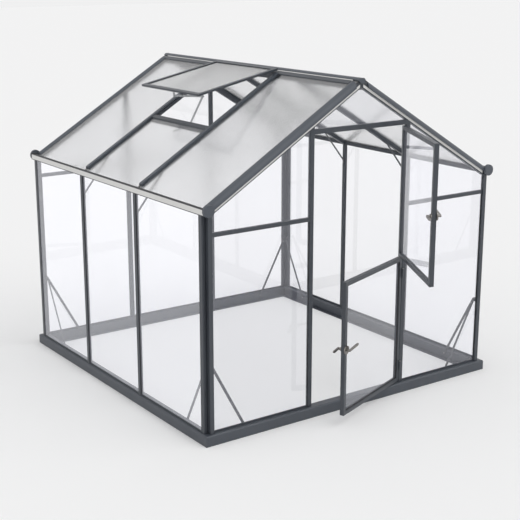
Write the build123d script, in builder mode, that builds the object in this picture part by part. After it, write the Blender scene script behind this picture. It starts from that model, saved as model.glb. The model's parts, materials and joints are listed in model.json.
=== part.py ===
"""Walk-in gabled greenhouse with a two-leaf stable door and a roof vent.

Millimetres, +Z up, origin on the ground at the middle of the plan. The gable with the door faces -Y, the
ridge runs along Y, and the vent is in the -X slope. Both door leaves and the vent stand open.
"""

import os
from math import asin, cos, degrees, hypot, radians, sin, tan

from build123d import *

os.makedirs("parts", exist_ok=True)

# Overall sizes
HALF_WIDTH = 1160.0        # centre to the outer face of a side wall
HALF_DEPTH = 1155.0        # centre to the outer face of a gable
PITCH = radians(31)
RIDGE_Z = 2126.0           # where the outer faces of the two slopes would meet
EAVE_Z = 1416.0            # underside of the eave beams
RAIL_Z = 1293.0            # middle of the horizontal gable rails
SIDE_POST_FRONT_Y = -354.0
SIDE_POST_BACK_Y = 378.0
BACK_POST_X = 380.0
DOOR_POST_LEFT_X = -372.0
DOOR_POST_RIGHT_X = 402.0
HEADER_Z = 1828.0          # middle of the bar over the door

# Base frame
BASE_HEIGHT = 68.0
BASE_WIDTH = 62.0
BASE_OUT_X = 10.0          # how far the base stands out past the side walls
BASE_OUT_Y = 27.0          # and past the gables
BASE_ROUND = 12.0
BASE_WALL = 3.0
FOOT_WIDTH = 40.0          # flange that lies on the ground inside the base
ANCHOR_X = 900.0
ANCHOR_HOLE_R = 4.5
BRACKET_LEG = 55.0

# Sections
POST_WIDTH = 30.0
POST_DEPTH = 24.0
RAIL_HEIGHT = 24.0
HEADER_HEIGHT = 30.0
CORNER_LEG = 56.0
CORNER_DEPTH = 22.0
CORNER_RECESS = 28.0       # square step down the outer corner of a corner post
CORNER_WEB = 6.0
CORNER_OUT_Y = 8.0         # corner posts stand this far out of the gable
CORNER_IN_X = 4.0          # and this far behind the side wall's face
RIB = 3.0
EDGE_ROUND = 1.5

# Glazing
PANE = 3.0
GLASS_BEHIND = 8.0         # outer face of a wall to the outer face of its pane
GROOVE_DEPTH = 7.0
GROOVE_CLEARANCE = 0.3
PANE_IN_GROOVE = 6.5
SILL_WIDTH = 8.0
SILL_HEIGHT = 12.0
ROOF_SHEET = 6.0
SHEET_GAP = 2.0            # middle of a rafter to the sheet beside it

# Roof bars, measured square to the slope, 0 at the outer face of the roof sheets
RAFTER_BOTTOM = -26.0
CAP_TOP = 12.0
CAP_WIDTH = 28.0
GABLE_RAFTER_WIDTH = 30.0
GABLE_RAFTER_BOTTOM = -48.0
BARGE_INNER = 52.0         # gable face to the inner edge of its barge cap
BARGE_OUT = 13.0           # gable face to the outer edge of its barge cap
BARGE_TOP = 9.4
BARGE_BOTTOM = -25.7
TRIM_BOTTOM = -40.3
TRIM = 3.0
TRIM_FROM_X = 14.0
TRIM_TO_X = 1090.0
RIDGE_HALF = 28.0
RIDGE_DEPTH = 50.0
RIDGE_CAP_HALF = 26.0
RIDGE_CAP_TOP = 2128.0
RIDGE_CAP_OUT = 4.0        # gable face to the end of the ridge cap
RIDGE_END = 6.0
RIDGE_END_HALF = 24.0
SEAL_TO_X = 34.0
FLASHING_TO_X = 60.0
CAP_TO_X = 1112.0
BARGE_FROM_X = 48.0
BARGE_TO_X = 1118.0
SHEET_FROM_X = 24.0
SHEET_TO_X = 1142.0

# Eave beam with its gutter
EAVE_WIDTH = 28.0
EAVE_FLOOR = 9.0
EAVE_WALL = 4.0
GUTTER_LIP_Z = 1456.0
GUTTER_CAP_R = 38.0
GUTTER_CAP_X = 1130.0
GUTTER_CAP_Z = 1443.0
GUTTER_CAP_LENGTH = 20.0

# Braces
STRIP = 3.0
STRIP_WIDTH = 20.0
BRACE_TOP_Z = 525.0
BRACE_FOOT_Z = 20.0
BRACE_REACH = 274.0
KNEE_Z = 1255.0
KNEE_TAB = 35.0
KNEE_X = 940.0
KNEE_TAB_X = 883.0
BOLT_R = 6.0
BOLT_HEAD = 4.0

# Stable door
DOOR_GAP = 3.0
LEAF_DEPTH = 28.0
LEAF_BAR = 25.0
LOWER_FOOT_Z = 78.0
LOWER_TOP_Z = 942.0
UPPER_FOOT_Z = 952.0
UPPER_TOP_Z = 1808.0
LOWER_OPEN = radians(20.9)
UPPER_OPEN = radians(62.3)
SEAL_DEPTH = 10.0
PIN_R = 4.0
KNUCKLE_R = 6.5
HINGE_STANDOFF = 7.5       # leaf face to hinge axis
HINGE_HEIGHT = 60.0
HINGE_PLATE = 2.0
HINGE_REACH = 25.0
HINGE_INSET = 110.0        # end of a leaf to the middle of its hinge
RUN = 0.05                 # radial running clearance
KNUCKLE_GAP = 0.5

# Lever handles
ROSE_R = 27.0
ROSE_THICK = 7.0
ROSE_LIFT = 0.6
ROSE_HUB_R = 12.0
INNER_ROSE_R = 14.0
SPINDLE_R = 5.0
NECK_R = 8.0
NECK = 18.0
OUTER_LEVER = 100.0
INNER_LEVER = 54.0
LEVER_WIDTH = 15.0
LEVER_THICK = 9.0
LEVER_TILT = radians(8)

# Roof vent
VENT_OPEN = radians(19.0)  # how far the leaf stands up from the slope
VENT_HINGE_X = 40.0
VENT_HINGE_RISE = 20.0     # roof face to hinge axis
VENT_START = 8.0           # hinge axis to the leaf
VENT_LENGTH = 637.0
VENT_HALF_Y = 366.0
VENT_DEPTH = 14.0
VENT_BAR = 28.0
VENT_SHEET = 4.0
VENT_KNUCKLE_R = 5.0
VENT_PIN_R = 3.0
VENT_KNUCKLE = 24.0
VENT_HINGES_Y = (-250.0, 250.0)
CROSS_BAR_X = 583.0
CROSS_BAR_WIDTH = 24.0
CROSS_BAR_RISE = 9.0       # roof face to the top of the bar under the vent's free edge

# Vent opener: two arms that fold at an elbow
OPENER_R = 620.0           # hinge axis to both outer pivots
OPENER_GAP = radians(4)    # angle left between the two pivots with the vent shut
OPENER_ARM = 230.0
OPENER_PIVOT_DROP = 45.0   # leaf's mid-plane to its pivot
ARM_WIDTH = 14.0
ARM_THICK = 3.0
ARM_GAP = 2.0              # middle plane to each arm
ARM_PIN_R = 3.0
ARM_BRACKET = 3.0
ARM_SIDE_GAP = 0.3

# Values that follow from the ones above
BASE_X = HALF_WIDTH + BASE_OUT_X
BASE_Y = HALF_DEPTH + BASE_OUT_Y
CORNER_X = HALF_WIDTH - CORNER_IN_X
CORNER_Y = HALF_DEPTH + CORNER_OUT_Y
BAY_X = CORNER_X - CORNER_LEG
BAY_Y = CORNER_Y - CORNER_LEG
POST_HALF = POST_WIDTH / 2
SIDE_POSTS_Y = (SIDE_POST_FRONT_Y, SIDE_POST_BACK_Y)
VENT_MIDDLE_Y = (SIDE_POST_FRONT_Y + SIDE_POST_BACK_Y) / 2
SIDE_GLASS_X = HALF_WIDTH - GLASS_BEHIND - PANE / 2
GABLE_GLASS_Y = HALF_DEPTH - GLASS_BEHIND - PANE / 2
GROOVE = PANE + 2 * GROOVE_CLEARANCE
RAFTER_INNER_Y = HALF_DEPTH - GABLE_RAFTER_WIDTH
SILL_TOP = BASE_HEIGHT + SILL_HEIGHT
PANE_FOOT = SILL_TOP - PANE_IN_GROOVE + 1
HINGE_X = DOOR_POST_RIGHT_X - POST_HALF - DOOR_GAP / 2
HINGE_Y = -(HALF_DEPTH + HINGE_STANDOFF)
LEAF_START = DOOR_GAP / 2
LEAF_END = HINGE_X - (DOOR_POST_LEFT_X + POST_HALF + DOOR_GAP)
SPINDLE_U = LEAF_END - LEAF_BAR / 2


def roof_z(x, rise):
    """Height of the plane that lies rise above the roof's outer face, at a distance x from the ridge."""
    return RIDGE_Z + rise / cos(PITCH) - abs(x) * tan(PITCH)


def finish(piece, node):
    piece.label = node
    export_step(piece, f"parts/{node}.step")
    print(node, "solids", len(piece.solids()), "volume", round(piece.volume))


def block(x0, x1, y0, y1, z0, z1, mode=Mode.ADD):
    with Locations(((x0 + x1) / 2, (y0 + y1) / 2, (z0 + z1) / 2)):
        Box(abs(x1 - x0), abs(y1 - y0), abs(z1 - z0), mode=mode)


def slab_xz(points, y0, y1, mode=Mode.ADD):
    """Outline in X and Z, extruded from y0 up to y1."""
    with BuildSketch(Plane.XZ.offset(-y1)) as outline:
        with BuildLine():
            Polyline(points, close=True)
        make_face()
    extrude(outline.sketch, amount=y1 - y0, mode=mode)


def slab_yz(points, x0, x1, mode=Mode.ADD):
    """Outline in Y and Z, extruded from x0 up to x1."""
    with BuildSketch(Plane.YZ.offset(x0)) as outline:
        with BuildLine():
            Polyline(points, close=True)
        make_face()
    extrude(outline.sketch, amount=x1 - x0, mode=mode)


def slope_bar(x_top, x_low, rise_low, rise_high, y0, y1, side=1, mode=Mode.ADD):
    """Bar along one slope, cut plumb at both ends."""
    outline = [
        (side * x_top, roof_z(x_top, rise_low)),
        (side * x_low, roof_z(x_low, rise_low)),
        (side * x_low, roof_z(x_low, rise_high)),
        (side * x_top, roof_z(x_top, rise_high)),
    ]
    slab_xz(outline, y0, y1, mode)


def cut_above_gable_rafters():
    """Trims what stands in a gable to the underside of its rafters."""
    reach = 2 * HALF_WIDTH
    outline = [
        (-reach, roof_z(reach, GABLE_RAFTER_BOTTOM)),
        (0, roof_z(0, GABLE_RAFTER_BOTTOM)),
        (reach, roof_z(reach, GABLE_RAFTER_BOTTOM)),
        (reach, 2 * RIDGE_Z),
        (-reach, 2 * RIDGE_Z),
    ]
    slab_xz(outline, -2 * HALF_DEPTH, 2 * HALF_DEPTH, mode=Mode.SUBTRACT)


def upright(x, y, width_x, width_y, z0, z1):
    """Plain bar with eased edges."""
    with BuildSketch(Plane.XY.offset(z0)) as outline:
        with Locations((x, y)):
            RectangleRounded(width_x, width_y, EDGE_ROUND)
    extrude(outline.sketch, amount=z1 - z0)


# Base frame: four hollow rails with an inner foot, mitred at the corners
def base_rail(node, outward_x, outward_y, anchors=()):
    inner = (abs(outward_x) * BASE_X + abs(outward_y) * BASE_Y) - BASE_WIDTH
    section_plane = Plane(
        origin=(outward_x * inner, outward_y * inner, 0),
        x_dir=(outward_x, outward_y, 0),
        z_dir=(outward_y, -outward_x, 0),
    )
    shoulder = BASE_WALL * 4
    with BuildPart() as rail:
        with BuildSketch(section_plane):
            with BuildLine():
                Polyline(
                    (BASE_WIDTH - BASE_ROUND, BASE_HEIGHT), (0, BASE_HEIGHT), (0, BASE_WALL),
                    (-FOOT_WIDTH, BASE_WALL), (-FOOT_WIDTH, 0), (BASE_WIDTH, 0),
                    (BASE_WIDTH, BASE_HEIGHT - BASE_ROUND),
                )
                RadiusArc(
                    (BASE_WIDTH, BASE_HEIGHT - BASE_ROUND),
                    (BASE_WIDTH - BASE_ROUND, BASE_HEIGHT), -BASE_ROUND,
                )
            make_face()
            with BuildLine():
                Polyline(
                    (BASE_WALL, BASE_WALL), (BASE_WIDTH - BASE_WALL, BASE_WALL),
                    (BASE_WIDTH - BASE_WALL, BASE_HEIGHT - shoulder),
                    (BASE_WIDTH - shoulder, BASE_HEIGHT - BASE_WALL),
                    (BASE_WALL, BASE_HEIGHT - BASE_WALL), close=True,
                )
            make_face(mode=Mode.SUBTRACT)
        extrude(amount=2 * BASE_X, both=True)
        for end in (-1, 1):
            corner_x = (outward_x or end) * BASE_X
            corner_y = (outward_y or end) * BASE_Y
            if outward_x:
                keep_side = (outward_x, -end, 0)
            else:
                keep_side = (-end, outward_y, 0)
            split(bisect_by=Plane(origin=(corner_x, corner_y, 0), z_dir=keep_side), keep=Keep.TOP)
        if anchors:
            foot_middle = outward_y * (inner - FOOT_WIDTH / 2)
            with Locations([(x, foot_middle, BASE_WALL / 2) for x in anchors]):
                Cylinder(ANCHOR_HOLE_R, 3 * BASE_WALL, mode=Mode.SUBTRACT)
    finish(rail.part, node)


base_rail("base_rail_front", 0, -1, anchors=(-ANCHOR_X, ANCHOR_X))
base_rail("base_rail_back", 0, 1, anchors=(-ANCHOR_X, ANCHOR_X))
base_rail("base_rail_left", -1, 0)
base_rail("base_rail_right", 1, 0)

with BuildPart() as base_corner_brackets:
    bracket_x = BASE_X - BASE_WIDTH
    bracket_y = BASE_Y - BASE_WIDTH
    bracket_foot = BASE_WALL + 5
    bracket_head = BASE_HEIGHT - 10
    for sx in (-1, 1):
        for sy in (-1, 1):
            block(sx * bracket_x, sx * (bracket_x - BRACKET_LEG), sy * bracket_y,
                  sy * (bracket_y - BASE_WALL), bracket_foot, bracket_head)
            block(sx * bracket_x, sx * (bracket_x - BASE_WALL), sy * bracket_y,
                  sy * (bracket_y - BRACKET_LEG), bracket_foot, bracket_head)
finish(base_corner_brackets.part, "base_corner_brackets")

# Glazing sills: the grooved bars on the base that the wall panes stand in
SIDE_BAYS = [
    (-BAY_Y, SIDE_POST_FRONT_Y - POST_HALF),
    (SIDE_POST_FRONT_Y + POST_HALF, SIDE_POST_BACK_Y - POST_HALF),
    (SIDE_POST_BACK_Y + POST_HALF, BAY_Y),
]
FRONT_BAYS = [
    (-BAY_X, DOOR_POST_LEFT_X - POST_HALF),
    (DOOR_POST_RIGHT_X + POST_HALF, BAY_X),
]
BACK_BAYS = [
    (-BAY_X, -(BACK_POST_X + POST_HALF)),
    (-(BACK_POST_X - POST_HALF), BACK_POST_X - POST_HALF),
    (BACK_POST_X + POST_HALF, BAY_X),
]
GABLE_BAYS = [(-1, bay) for bay in FRONT_BAYS] + [(1, bay) for bay in BACK_BAYS]

with BuildPart() as glazing_sills:
    groove_floor = SILL_TOP - PANE_IN_GROOVE + 0.5
    for side in (-1, 1):
        middle = side * SIDE_GLASS_X
        for low, high in SIDE_BAYS:
            block(middle - SILL_WIDTH / 2, middle + SILL_WIDTH / 2, low, high, BASE_HEIGHT, SILL_TOP)
            block(middle - GROOVE / 2, middle + GROOVE / 2, low, high, groove_floor, SILL_TOP,
                  mode=Mode.SUBTRACT)
    for side, (low, high) in GABLE_BAYS:
        middle = side * GABLE_GLASS_Y
        block(low, high, middle - SILL_WIDTH / 2, middle + SILL_WIDTH / 2, BASE_HEIGHT, SILL_TOP)
        block(low, high, middle - GROOVE / 2, middle + GROOVE / 2, groove_floor, SILL_TOP,
              mode=Mode.SUBTRACT)
finish(glazing_sills.part, "glazing_sills")

# Corner posts: two legs joined round a square step, with a rib on each face of the step
with BuildPart() as corner_posts:
    inside = CORNER_RECESS + CORNER_WEB
    for sx in (-1, 1):
        for sy in (-1, 1):
            outline = [
                (CORNER_RECESS, 0), (CORNER_LEG, 0), (CORNER_LEG, CORNER_DEPTH), (inside, CORNER_DEPTH),
                (inside, inside), (CORNER_DEPTH, inside), (CORNER_DEPTH, CORNER_LEG), (0, CORNER_LEG),
                (0, CORNER_RECESS), (CORNER_RECESS, CORNER_RECESS),
            ]
            with BuildSketch(Plane.XY.offset(BASE_HEIGHT)):
                with BuildLine():
                    Polyline([(sx * (CORNER_X - p), sy * (CORNER_Y - q)) for p, q in outline], close=True)
                make_face()
                rib_middle = CORNER_RECESS - RIB / 2
                half_step = CORNER_RECESS / 2
                with Locations((sx * (CORNER_X - half_step), sy * (CORNER_Y - rib_middle))):
                    Rectangle(RIB, 2 * RIB)
                with Locations((sx * (CORNER_X - rib_middle), sy * (CORNER_Y - half_step))):
                    Rectangle(2 * RIB, RIB)
            extrude(amount=EAVE_Z - BASE_HEIGHT)
            block(sx * BAY_X, sx * (BAY_X + GROOVE_DEPTH), sy * (GABLE_GLASS_Y - GROOVE / 2),
                  sy * (GABLE_GLASS_Y + GROOVE / 2), BASE_HEIGHT, EAVE_Z, mode=Mode.SUBTRACT)
            block(sx * (SIDE_GLASS_X - GROOVE / 2), sx * (SIDE_GLASS_X + GROOVE / 2), sy * BAY_Y,
                  sy * (BAY_Y + GROOVE_DEPTH), BASE_HEIGHT, EAVE_Z, mode=Mode.SUBTRACT)
finish(corner_posts.part, "corner_posts")


# Posts of the walls, each grooved on both edges
def groove_side_post(x, y, z0, z1):
    for edge in (-1, 1):
        block(x - GROOVE / 2, x + GROOVE / 2, y + edge * POST_HALF, y + edge * (POST_HALF - GROOVE_DEPTH),
              z0, z1, mode=Mode.SUBTRACT)


def gable_post(x, side, z0, edges, edge_top):
    """Post of a gable, cut to the rafters, with a groove along each edge that carries a pane."""
    upright(x, side * (HALF_DEPTH - POST_DEPTH / 2), POST_WIDTH, POST_DEPTH, z0, RIDGE_Z)
    for edge in edges:
        middle = side * GABLE_GLASS_Y
        block(x + edge * POST_HALF, x + edge * (POST_HALF - GROOVE_DEPTH), middle - GROOVE / 2,
              middle + GROOVE / 2, z0, edge_top, mode=Mode.SUBTRACT)


with BuildPart() as side_posts:
    for side in (-1, 1):
        for y in SIDE_POSTS_Y:
            upright(side * (HALF_WIDTH - POST_DEPTH / 2), y, POST_DEPTH, POST_WIDTH, BASE_HEIGHT, EAVE_Z)
            groove_side_post(side * SIDE_GLASS_X, y, BASE_HEIGHT, EAVE_Z)
finish(side_posts.part, "side_posts")

with BuildPart() as back_posts:
    for x in (-BACK_POST_X, BACK_POST_X):
        gable_post(x, 1, BASE_HEIGHT, (-1, 1), RIDGE_Z)
    cut_above_gable_rafters()
finish(back_posts.part, "back_posts")

with BuildPart() as door_posts:
    gable_post(DOOR_POST_LEFT_X, -1, BASE_HEIGHT, (-1,), RIDGE_Z)
    gable_post(DOOR_POST_RIGHT_X, -1, BASE_HEIGHT, (1,), RIDGE_Z)
    cut_above_gable_rafters()
finish(door_posts.part, "door_posts")

HEADER_LEFT = DOOR_POST_LEFT_X + POST_HALF
HEADER_RIGHT = DOOR_POST_RIGHT_X - POST_HALF
HEADER_TOP = HEADER_Z + HEADER_HEIGHT / 2
with BuildPart() as door_header:
    block(HEADER_LEFT, HEADER_RIGHT, -HALF_DEPTH, -(HALF_DEPTH - POST_DEPTH),
          HEADER_Z - HEADER_HEIGHT / 2, HEADER_TOP)
    block(HEADER_LEFT, HEADER_RIGHT, -(GABLE_GLASS_Y - GROOVE / 2), -(GABLE_GLASS_Y + GROOVE / 2),
          HEADER_TOP - GROOVE_DEPTH, HEADER_TOP, mode=Mode.SUBTRACT)
    cut_above_gable_rafters()
finish(door_header.part, "door_header")

with BuildPart() as gable_rails:
    rail_top = RAIL_Z + RAIL_HEIGHT / 2
    rail_foot = RAIL_Z - RAIL_HEIGHT / 2
    for side, (low, high) in GABLE_BAYS:
        middle = side * GABLE_GLASS_Y
        block(low, high, side * HALF_DEPTH, side * (HALF_DEPTH - POST_DEPTH), rail_foot, rail_top)
        block(low, high, middle - GROOVE / 2, middle + GROOVE / 2, rail_top - GROOVE_DEPTH, rail_top,
              mode=Mode.SUBTRACT)
        block(low, high, middle - GROOVE / 2, middle + GROOVE / 2, rail_foot, rail_foot + GROOVE_DEPTH,
              mode=Mode.SUBTRACT)
finish(gable_rails.part, "gable_rails")

# Eave beams: the beam on the posts, with the gutter in its top
EAVE_INNER = HALF_WIDTH - EAVE_WIDTH
with BuildPart() as eave_beams:
    inner_wall_top = roof_z(EAVE_INNER + EAVE_WALL, -ROOF_SHEET)
    floor_z = EAVE_Z + EAVE_FLOOR
    lip_x = HALF_WIDTH + EAVE_WALL
    slab_xz(
        [
            (EAVE_INNER, EAVE_Z), (lip_x, EAVE_Z), (lip_x, EAVE_Z + EAVE_WALL),
            (HALF_WIDTH, EAVE_Z + EAVE_WALL), (HALF_WIDTH, GUTTER_LIP_Z - EAVE_WALL),
            (lip_x, GUTTER_LIP_Z - EAVE_WALL), (lip_x, GUTTER_LIP_Z), (HALF_WIDTH - EAVE_WALL, GUTTER_LIP_Z),
            (HALF_WIDTH - EAVE_WALL, floor_z), (EAVE_INNER + EAVE_WALL, floor_z),
            (EAVE_INNER + EAVE_WALL, inner_wall_top), (EAVE_INNER, inner_wall_top),
        ],
        -CORNER_Y, CORNER_Y,
    )
    for low, high in SIDE_BAYS:
        block(SIDE_GLASS_X - GROOVE / 2, SIDE_GLASS_X + GROOVE / 2, low - GROOVE_DEPTH, high + GROOVE_DEPTH,
              EAVE_Z, EAVE_Z + GROOVE_DEPTH, mode=Mode.SUBTRACT)
    mirror(about=Plane.YZ)
finish(eave_beams.part, "eave_beams")

with BuildPart() as gutter_trims:
    block(HALF_WIDTH, HALF_WIDTH + TRIM, -CORNER_Y, CORNER_Y, EAVE_Z + EAVE_WALL, GUTTER_LIP_Z - EAVE_WALL)
    mirror(about=Plane.YZ)
finish(gutter_trims.part, "gutter_trims")

with BuildPart() as gutter_end_caps:
    for sx in (-1, 1):
        with BuildSketch(Plane.XZ.offset(CORNER_Y)):
            with Locations((sx * GUTTER_CAP_X, GUTTER_CAP_Z)):
                Circle(GUTTER_CAP_R)
        extrude(amount=GUTTER_CAP_LENGTH)
    outer_rims = gutter_end_caps.edges().filter_by(GeomType.CIRCLE).group_by(Axis.Y)[0]
    fillet(outer_rims, EAVE_WALL)
    mirror(about=Plane.XZ)
finish(gutter_end_caps.part, "gutter_end_caps")

# Ridge: beam, cap, light seals, dark flashings and end plates
RIDGE_BEAM_TOP = roof_z(RIDGE_HALF, -ROOF_SHEET)
RIDGE_CAP_FOOT = roof_z(SHEET_FROM_X, 0) + GROOVE_CLEARANCE
with BuildPart() as ridge_beam:
    block(-RIDGE_HALF, RIDGE_HALF, -RAFTER_INNER_Y, RAFTER_INNER_Y, RIDGE_BEAM_TOP - RIDGE_DEPTH,
          RIDGE_BEAM_TOP)
finish(ridge_beam.part, "ridge_beam")

BARGE_Y = HALF_DEPTH + BARGE_OUT
RIDGE_CAP_Y = HALF_DEPTH + RIDGE_CAP_OUT
with BuildPart() as ridge_cap:
    cap_shoulder = RIDGE_CAP_TOP - BARGE_TOP
    slab_xz(
        [
            (-RIDGE_CAP_HALF, RIDGE_CAP_FOOT), (RIDGE_CAP_HALF, RIDGE_CAP_FOOT),
            (RIDGE_CAP_HALF, cap_shoulder), (RIDGE_CAP_HALF / 2, RIDGE_CAP_TOP),
            (-RIDGE_CAP_HALF / 2, RIDGE_CAP_TOP), (-RIDGE_CAP_HALF, cap_shoulder),
        ],
        -RIDGE_CAP_Y, RIDGE_CAP_Y,
    )
    block(-NECK_R, NECK_R, -RAFTER_INNER_Y, RAFTER_INNER_Y, RIDGE_BEAM_TOP, RIDGE_CAP_FOOT)
finish(ridge_cap.part, "ridge_cap")

BARGE_INNER_Y = HALF_DEPTH - BARGE_INNER
with BuildPart() as ridge_seals:
    slope_bar(RIDGE_CAP_HALF, SEAL_TO_X, 0, EAVE_WALL, -BARGE_INNER_Y, BARGE_INNER_Y)
    mirror(about=Plane.YZ)
finish(ridge_seals.part, "ridge_seals")

with BuildPart() as ridge_flashings:
    slope_bar(SEAL_TO_X, FLASHING_TO_X, 0, EAVE_WALL + 1, -BARGE_INNER_Y, BARGE_INNER_Y)
    mirror(about=Plane.YZ)
finish(ridge_flashings.part, "ridge_flashings")

with BuildPart() as ridge_end_caps:
    foot_z = roof_z(0, BARGE_BOTTOM)
    shoulder_z = RIDGE_CAP_TOP - BARGE_TOP
    slab_xz(
        [
            (-RIDGE_CAP_HALF / 2, foot_z), (RIDGE_CAP_HALF / 2, foot_z),
            (RIDGE_END_HALF, foot_z + RIDGE_CAP_HALF / 2), (RIDGE_END_HALF, shoulder_z),
            (RIDGE_CAP_HALF / 2, RIDGE_CAP_TOP + 1), (-RIDGE_CAP_HALF / 2, RIDGE_CAP_TOP + 1),
            (-RIDGE_END_HALF, shoulder_z), (-RIDGE_END_HALF, foot_z + RIDGE_CAP_HALF / 2),
        ],
        -(RIDGE_CAP_Y + RIDGE_END), -RIDGE_CAP_Y,
    )
    block(-RIDGE_CAP_HALF / 2, RIDGE_CAP_HALF / 2, -RIDGE_CAP_Y, -HALF_DEPTH, foot_z + 3,
          RIDGE_CAP_FOOT - 1)
    mirror(about=Plane.XZ)
finish(ridge_end_caps.part, "ridge_end_caps")


# Rafters of the gables and of the slopes
def gable_rafter_pair(node, side):
    with BuildPart() as rafters:
        low, high = sorted((side * HALF_DEPTH, side * RAFTER_INNER_Y))
        slope_bar(0.25, EAVE_INNER, GABLE_RAFTER_BOTTOM, -ROOF_SHEET, low, high)
        block(BAY_X, EAVE_INNER, low, high, EAVE_Z - BARGE_INNER, EAVE_Z, mode=Mode.SUBTRACT)
        block(-RIDGE_HALF, RIDGE_HALF, low, high, RIDGE_CAP_FOOT, RIDGE_Z, mode=Mode.SUBTRACT)
        mirror(about=Plane.YZ)
    finish(rafters.part, node)


gable_rafter_pair("gable_rafters_front", -1)
gable_rafter_pair("gable_rafters_back", 1)


def barge_cap_pair(node, side):
    """Rounded caps over the roof sheets' outer edges."""
    slope_plane = Plane(
        origin=(0, 0, roof_z(0, 0)), x_dir=(0, 1, 0), z_dir=(cos(PITCH), 0, -sin(PITCH)),
    )
    run = BARGE_TO_X / cos(PITCH)
    inner_edge = (side * BARGE_INNER_Y, 0)
    crown = (side * (HALF_DEPTH - BARGE_OUT), BARGE_TOP)
    outer_edge = (side * BARGE_Y, BARGE_BOTTOM)
    with BuildPart() as caps:
        with BuildSketch(slope_plane):
            with BuildLine():
                ThreePointArc(inner_edge, crown, outer_edge)
                Polyline(outer_edge, (side * HALF_DEPTH, BARGE_BOTTOM), (side * HALF_DEPTH, 0), inner_edge)
            make_face()
        extrude(amount=2 * run, both=True)
        block(BARGE_FROM_X, BARGE_TO_X, -2 * BARGE_Y, 2 * BARGE_Y, 0, 2 * RIDGE_Z, mode=Mode.INTERSECT)
        with Locations((GUTTER_CAP_X, side * (CORNER_Y + GUTTER_CAP_LENGTH / 2), GUTTER_CAP_Z)):
            Cylinder(GUTTER_CAP_R, GUTTER_CAP_LENGTH, rotation=(90, 0, 0), mode=Mode.SUBTRACT)
        mirror(about=Plane.YZ)
    finish(caps.part, node)


barge_cap_pair("barge_caps_front", -1)
barge_cap_pair("barge_caps_back", 1)

with BuildPart() as barge_trims:
    slope_bar(TRIM_FROM_X, TRIM_TO_X, TRIM_BOTTOM, BARGE_BOTTOM, -(HALF_DEPTH + TRIM), -HALF_DEPTH)
    mirror(about=Plane.YZ)
    mirror(about=Plane.XZ)
finish(barge_trims.part, "barge_trims")

with BuildPart() as roof_rafters:
    for y in SIDE_POSTS_Y:
        slope_bar(RIDGE_HALF, EAVE_INNER, RAFTER_BOTTOM, -ROOF_SHEET, y - POST_HALF, y + POST_HALF)
    mirror(about=Plane.YZ)
finish(roof_rafters.part, "roof_rafters")

with BuildPart() as rafter_caps:
    for y in SIDE_POSTS_Y:
        slope_bar(FLASHING_TO_X, CAP_TO_X, 0, CAP_TOP, y - CAP_WIDTH / 2, y + CAP_WIDTH / 2)
    mirror(about=Plane.YZ)
finish(rafter_caps.part, "rafter_caps")

RAFTER_INSIDE = (SIDE_POST_FRONT_Y + POST_HALF, SIDE_POST_BACK_Y - POST_HALF)
CAP_INSIDE = (SIDE_POST_FRONT_Y + CAP_WIDTH / 2 + 1, SIDE_POST_BACK_Y - CAP_WIDTH / 2 - 1)
CROSS_BAR_END_X = CROSS_BAR_X + CROSS_BAR_WIDTH
with BuildPart() as vent_cross_bar:
    slope_bar(CROSS_BAR_X, CROSS_BAR_END_X, RAFTER_BOTTOM, -ROOF_SHEET, *RAFTER_INSIDE, side=-1)
    slope_bar(CROSS_BAR_X, CROSS_BAR_END_X, -ROOF_SHEET, CROSS_BAR_RISE, *CAP_INSIDE, side=-1)
finish(vent_cross_bar.part, "vent_cross_bar")

# Roof sheets: three to a slope, the middle one of the -X slope cut short for the vent
MIDDLE_SHEET = (SIDE_POST_FRONT_Y + SHEET_GAP, SIDE_POST_BACK_Y - SHEET_GAP)
with BuildPart() as roof_sheets:
    for side in (-1, 1):
        slope_bar(SHEET_FROM_X, SHEET_TO_X, -ROOF_SHEET, 0, -HALF_DEPTH, SIDE_POST_FRONT_Y - SHEET_GAP, side)
        slope_bar(SHEET_FROM_X, SHEET_TO_X, -ROOF_SHEET, 0, SIDE_POST_BACK_Y + SHEET_GAP, HALF_DEPTH, side)
    slope_bar(SHEET_FROM_X, SHEET_TO_X, -ROOF_SHEET, 0, *MIDDLE_SHEET)
finish(roof_sheets.part, "roof_sheets")

with BuildPart() as roof_sheet_below_vent:
    slope_bar(CROSS_BAR_END_X, SHEET_TO_X, -ROOF_SHEET, 0, *MIDDLE_SHEET, side=-1)
finish(roof_sheet_below_vent.part, "roof_sheet_below_vent")

# Wall panes
EAVE_PANE_TOP = EAVE_Z + PANE_IN_GROOVE
with BuildPart() as side_panes:
    for side in (-1, 1):
        middle = side * SIDE_GLASS_X
        for low, high in SIDE_BAYS:
            block(middle - PANE / 2, middle + PANE / 2, low - PANE_IN_GROOVE, high + PANE_IN_GROOVE,
                  PANE_FOOT, EAVE_PANE_TOP)
finish(side_panes.part, "side_panes")


def gable_lower_panes(node, side, bays):
    with BuildPart() as panes:
        middle = side * GABLE_GLASS_Y
        for low, high in bays:
            block(low - PANE_IN_GROOVE, high + PANE_IN_GROOVE, middle - PANE / 2, middle + PANE / 2,
                  PANE_FOOT, RAIL_Z - RAIL_HEIGHT / 2 + PANE_IN_GROOVE)
    finish(panes.part, node)


def gable_upper_panes(node, side, bays):
    """Panes from the rail up to the rafters."""
    foot = RAIL_Z + RAIL_HEIGHT / 2 - PANE_IN_GROOVE
    with BuildPart() as panes:
        middle = side * GABLE_GLASS_Y
        for low, high in bays:
            left = low - PANE_IN_GROOVE
            right = high + PANE_IN_GROOVE
            slab_xz([(left, foot), (right, foot), (right, RIDGE_Z), (left, RIDGE_Z)],
                    middle - PANE / 2, middle + PANE / 2)
        cut_above_gable_rafters()
        for sx in (-1, 1):
            block(sx * BAY_X, sx * HALF_WIDTH, middle - PANE, middle + PANE, EAVE_Z - GROOVE_DEPTH,
                  2 * EAVE_Z, mode=Mode.SUBTRACT)
    finish(panes.part, node)


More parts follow.
